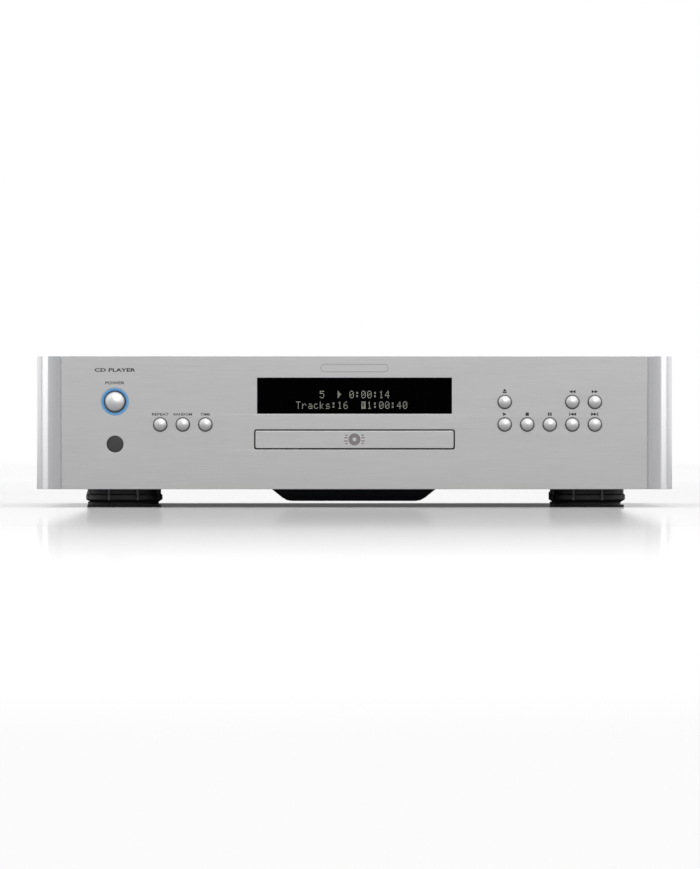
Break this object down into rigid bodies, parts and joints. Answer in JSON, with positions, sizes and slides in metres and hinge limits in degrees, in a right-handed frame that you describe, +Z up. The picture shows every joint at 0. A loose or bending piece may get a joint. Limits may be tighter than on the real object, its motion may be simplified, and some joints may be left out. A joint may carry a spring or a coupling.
{
  "type": "cd player",
  "caption": "Full-width hi-fi compact disc player with a brushed metal front, rounded end caps, lit power button, wide display, motorised disc tray and round feet",
  "frame": {"origin": "on the surface the feet stand on, centred on the player's overall width and depth", "axes": "+X to the right seen from the front, +Y to the rear, +Z up"},
  "size_m": [0.43, 0.314, 0.102],
  "materials": {
    "brushed_panel": "brushed along its width",
    "satin_cap": "fine satin",
    "button_metal": "turned satin dome",
    "silver_paint": "fine textured silver paint",
    "black_steel": "fine textured black paint",
    "zinc_steel": "zinc plated",
    "bright_steel": "bright plated",
    "black_anodised": "black anodised",
    "black_plastic": "satin moulded",
    "deck_plastic": "moulded",
    "white_plastic": "natural acetal",
    "pad_felt": "felt",
    "belt_rubber": "smooth",
    "display_acrylic": "polished, smoked",
    "sensor_acrylic": "satin, smoked",
    "blue_light": "clear, lit blue from behind",
    "circuit_board": "green solder mask",
    "clear_glass": "polished",
    "winding_tape": "polyester tape over copper",
    "capacitor_sleeve": "shrink sleeve",
    "digital_jack": "orange insert on plated barrel"
  },
  "bodies": {
    "player": {"front_panel": "brushed_panel", "end_cap_left": "satin_cap", "end_cap_right": "satin_cap", "top_cover": "silver_paint", "chassis_base": "black_steel", "rear_panel": "black_steel", "front_bracket": "zinc_steel", "clamp_bridge": "zinc_steel", "balanced_output_left": "zinc_steel", "balanced_output_right": "zinc_steel", "transformer_bolt": "bright_steel", "loading_motor": "bright_steel", "analogue_output_jacks": "bright_steel", "heat_sink": "black_anodised", "foot_front_left": "black_plastic", "foot_front_right": "black_plastic", "foot_rear_left": "black_plastic", "foot_rear_right": "black_plastic", "mains_inlet": "black_plastic", "loader_frame": "deck_plastic", "foot_pad_front_left": "pad_felt", "foot_pad_front_right": "pad_felt", "foot_pad_rear_left": "pad_felt", "foot_pad_rear_right": "pad_felt", "drive_belt": "belt_rubber", "display_window": "display_acrylic", "remote_sensor_window": "sensor_acrylic", "power_light_ring": "blue_light", "main_board": "circuit_board", "control_board": "circuit_board", "display_module": "clear_glass", "transformer": "winding_tape", "reservoir_capacitor": "capacitor_sleeve", "digital_output_jack": "digital_jack"},
    "tray": {"disc_tray": "black_plastic", "tray_door": "brushed_panel"},
    "tray_gear": {"tray_gear": "white_plastic"},
    "belt_pulley": {"belt_pulley": "white_plastic"},
    "motor_pulley": {"motor_pulley": "white_plastic"},
    "traverse": {"traverse_deck": "deck_plastic", "guide_rod": "bright_steel", "sled_motor": "bright_steel", "spindle_motor": "bright_steel"},
    "turntable": {"turntable": "black_plastic"},
    "sled": {"pickup_sled": "black_anodised"},
    "lens": {"objective_lens": "clear_glass"},
    "lead_screw": {"lead_screw": "bright_steel"},
    "clamp": {"clamp_puck": "white_plastic"},
    "button_power": {"button_power": "button_metal"},
    "button_repeat": {"button_repeat": "button_metal"},
    "button_random": {"button_random": "button_metal"},
    "button_time": {"button_time": "button_metal"},
    "button_open_close": {"button_open_close": "button_metal"},
    "button_search_back": {"button_search_back": "button_metal"},
    "button_search_forward": {"button_search_forward": "button_metal"},
    "button_play": {"button_play": "button_metal"},
    "button_stop": {"button_stop": "button_metal"},
    "button_pause": {"button_pause": "button_metal"},
    "button_track_back": {"button_track_back": "button_metal"},
    "button_track_forward": {"button_track_forward": "button_metal"}
  },
  "joints": [
    {"name": "tray_slide", "type": "slide", "parent": "player", "child": "tray", "axis": [0, -1, 0], "range_m": [0, 0.14]},
    {"name": "tray_gear_spin", "type": "hinge", "parent": "player", "child": "tray_gear", "pos_m": [-0.048, -0.124, 0.035], "axis": [0, 0, 1], "range_deg": [0, 900]},
    {"name": "belt_pulley_spin", "type": "hinge", "parent": "player", "child": "belt_pulley", "pos_m": [-0.0264, -0.124, 0.033], "axis": [0, 0, 1], "range_deg": [-2560, 0]},
    {"name": "motor_pulley_spin", "type": "hinge", "parent": "player", "child": "motor_pulley", "pos_m": [0.014, -0.124, 0.0355], "axis": [0, 0, 1], "range_deg": [-10240, 0]},
    {"name": "traverse_tilt", "type": "hinge", "parent": "player", "child": "traverse", "pos_m": [0, 0.026, 0.031], "axis": [1, 0, 0], "range_deg": [0, 7]},
    {"name": "turntable_spin", "type": "hinge", "parent": "traverse", "child": "turntable", "pos_m": [0, -0.079, 0.043], "axis": [0, 0, 1], "continuous": true},
    {"name": "clamp_spin", "type": "hinge", "parent": "player", "child": "clamp", "pos_m": [0, -0.079, 0.05], "axis": [0, 0, 1], "continuous": true},
    {"name": "sled_slide", "type": "slide", "parent": "traverse", "child": "sled", "axis": [0, 1, 0], "range_m": [0, 0.035]},
    {"name": "lead_screw_spin", "type": "hinge", "parent": "traverse", "child": "lead_screw", "pos_m": [0.025, -0.03, 0.031], "axis": [0, 1, 0], "range_deg": [0, 4210]},
    {"name": "lens_focus", "type": "slide", "parent": "sled", "child": "lens", "axis": [0, 0, 1], "range_m": [-0.0004, 0.0004], "stiffness_N_per_m": 30},
    {"name": "power_press", "type": "slide", "parent": "player", "child": "button_power", "axis": [0, 1, 0], "range_m": [0, 0.001], "stiffness_N_per_m": 300, "springref_m": -0.004},
    {"name": "repeat_press", "type": "slide", "parent": "player", "child": "button_repeat", "axis": [0, 1, 0], "range_m": [0, 0.0008], "stiffness_N_per_m": 300, "springref_m": -0.004},
    {"name": "random_press", "type": "slide", "parent": "player", "child": "button_random", "axis": [0, 1, 0], "range_m": [0, 0.0008], "stiffness_N_per_m": 300, "springref_m": -0.004},
    {"name": "time_press", "type": "slide", "parent": "player", "child": "button_time", "axis": [0, 1, 0], "range_m": [0, 0.0008], "stiffness_N_per_m": 300, "springref_m": -0.004},
    {"name": "open_close_press", "type": "slide", "parent": "player", "child": "button_open_close", "axis": [0, 1, 0], "range_m": [0, 0.0008], "stiffness_N_per_m": 300, "springref_m": -0.004},
    {"name": "search_back_press", "type": "slide", "parent": "player", "child": "button_search_back", "axis": [0, 1, 0], "range_m": [0, 0.0008], "stiffness_N_per_m": 300, "springref_m": -0.004},
    {"name": "search_forward_press", "type": "slide", "parent": "player", "child": "button_search_forward", "axis": [0, 1, 0], "range_m": [0, 0.0008], "stiffness_N_per_m": 300, "springref_m": -0.004},
    {"name": "play_press", "type": "slide", "parent": "player", "child": "button_play", "axis": [0, 1, 0], "range_m": [0, 0.0008], "stiffness_N_per_m": 300, "springref_m": -0.004},
    {"name": "stop_press", "type": "slide", "parent": "player", "child": "button_stop", "axis": [0, 1, 0], "range_m": [0, 0.0008], "stiffness_N_per_m": 300, "springref_m": -0.004},
    {"name": "pause_press", "type": "slide", "parent": "player", "child": "button_pause", "axis": [0, 1, 0], "range_m": [0, 0.0008], "stiffness_N_per_m": 300, "springref_m": -0.004},
    {"name": "track_back_press", "type": "slide", "parent": "player", "child": "button_track_back", "axis": [0, 1, 0], "range_m": [0, 0.0008], "stiffness_N_per_m": 300, "springref_m": -0.004},
    {"name": "track_forward_press", "type": "slide", "parent": "player", "child": "button_track_forward", "axis": [0, 1, 0], "range_m": [0, 0.0008], "stiffness_N_per_m": 300, "springref_m": -0.004}
  ],
  "couplings": [
    {"joint": "tray_gear_spin", "follows": "tray_slide", "rad_per_m": 111.11},
    {"joint": "belt_pulley_spin", "follows": "tray_slide", "rad_per_m": -317.46},
    {"joint": "motor_pulley_spin", "follows": "tray_slide", "rad_per_m": -1269.8},
    {"joint": "lead_screw_spin", "follows": "sled_slide", "rad_per_m": 2094.4},
    {"joint": "clamp_spin", "follows": "turntable_spin", "ratio": 1}
  ]
}
